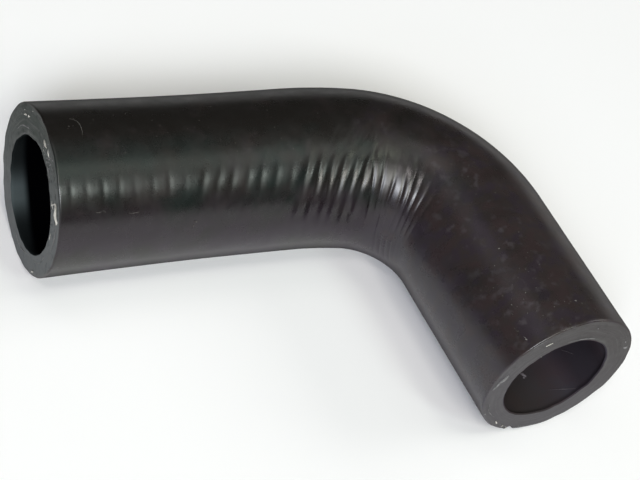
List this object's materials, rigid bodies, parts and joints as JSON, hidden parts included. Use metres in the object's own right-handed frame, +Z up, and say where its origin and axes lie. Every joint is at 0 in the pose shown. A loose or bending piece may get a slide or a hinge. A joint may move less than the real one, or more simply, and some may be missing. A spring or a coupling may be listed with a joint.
{
  "type": "oil return hose",
  "caption": "Thick-walled moulded rubber elbow hose, a longer and a shorter limb at close to a right angle, open right through, with square cut ends.",
  "frame": {"origin": "middle of the hose's box seen from above, on the surface that the hose lies on", "axes": "+X runs from the long limb's mouth towards the bend, the short limb points close to -Y, +Z is up and square to the plane of the bend"},
  "size_m": [0.087, 0.0634, 0.0277],
  "materials": {
    "black_rubber": "satin black cover with faint forming ripples, matte grey-black cut faces"
  },
  "bodies": {
    "root": {"hose_body": "black_rubber"}
  },
  "joints": []
}
